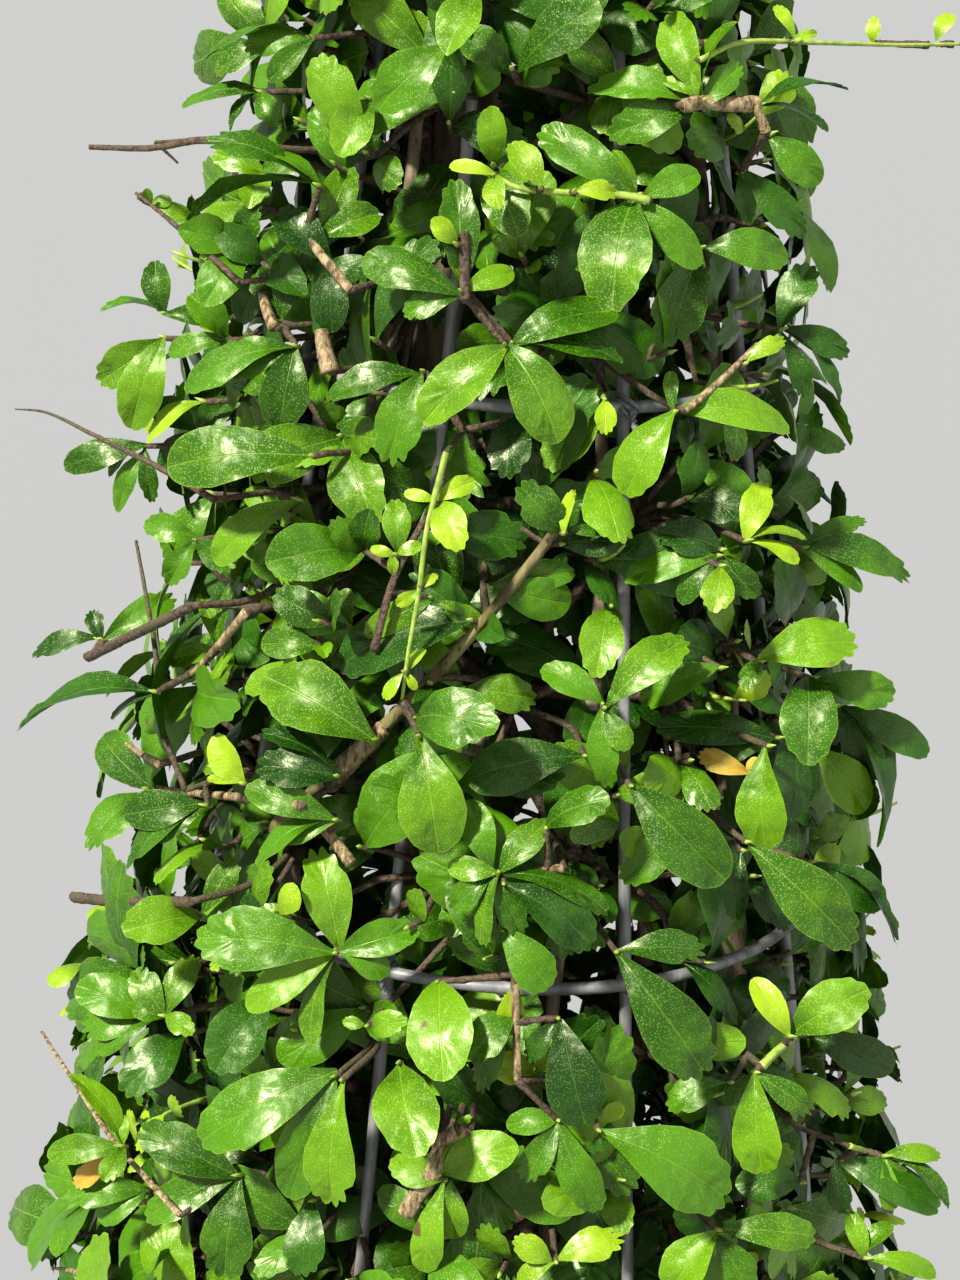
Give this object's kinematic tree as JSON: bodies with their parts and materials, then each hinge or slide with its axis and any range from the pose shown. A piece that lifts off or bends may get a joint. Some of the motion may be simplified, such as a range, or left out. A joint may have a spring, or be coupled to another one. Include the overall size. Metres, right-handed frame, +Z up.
{
  "type": "fukien tea cone topiary in a plain clay pot",
  "caption": "Potted small-leaved evergreen shrub trained up a conical frame of grey wire, with separate trunk, leaders, boughs and foliage masses.",
  "frame": {"origin": "middle of the pot's flat underside, where it stands", "axes": "+Z up along the plant, -Y towards the side that the picture shows, +X to the right in it"},
  "size_m": [0.3837, 0.3825, 1.2659],
  "materials": {
    "clay": "matt fired clay",
    "soil": "crumbly potting soil",
    "wire": "dull grey coated wire",
    "bark": "rough grey-brown bark",
    "leaf": "glossy green leaves"
  },
  "bodies": {
    "root": {"pot": "clay", "soil": "soil", "wire_upright_1": "wire", "wire_upright_2": "wire", "wire_upright_3": "wire", "wire_upright_4": "wire", "wire_upright_5": "wire", "wire_upright_6": "wire", "wire_upright_7": "wire", "wire_upright_8": "wire", "wire_ring_1": "wire", "wire_ring_2": "wire", "wire_ring_3": "wire", "wire_ring_4": "wire", "wire_ring_5": "wire", "wire_ring_6": "wire", "wire_collar": "wire", "trunk": "bark", "leader_front": "bark", "leader_right": "bark", "leader_back_right": "bark", "leader_back_left": "bark", "leader_left": "bark", "bough_1": "bark", "bough_2": "bark", "bough_3": "bark", "bough_4": "bark", "bough_5": "bark", "bough_6": "bark", "bough_crossing_front": "bark", "foliage_tier_1_1": "leaf", "foliage_tier_1_2": "leaf", "foliage_tier_1_3": "leaf", "foliage_tier_1_4": "leaf", "foliage_tier_2_1": "leaf", "foliage_tier_2_2": "leaf", "foliage_tier_2_3": "leaf", "foliage_tier_2_4": "leaf", "foliage_tier_3_1": "leaf", "foliage_tier_3_2": "leaf", "foliage_tier_3_3": "leaf", "foliage_tier_4_1": "leaf", "foliage_tier_4_2": "leaf", "foliage_tier_4_3": "leaf", "foliage_tier_5_1": "leaf", "foliage_tier_5_2": "leaf", "foliage_tier_5_3": "leaf", "foliage_tip": "leaf"}
  },
  "joints": []
}
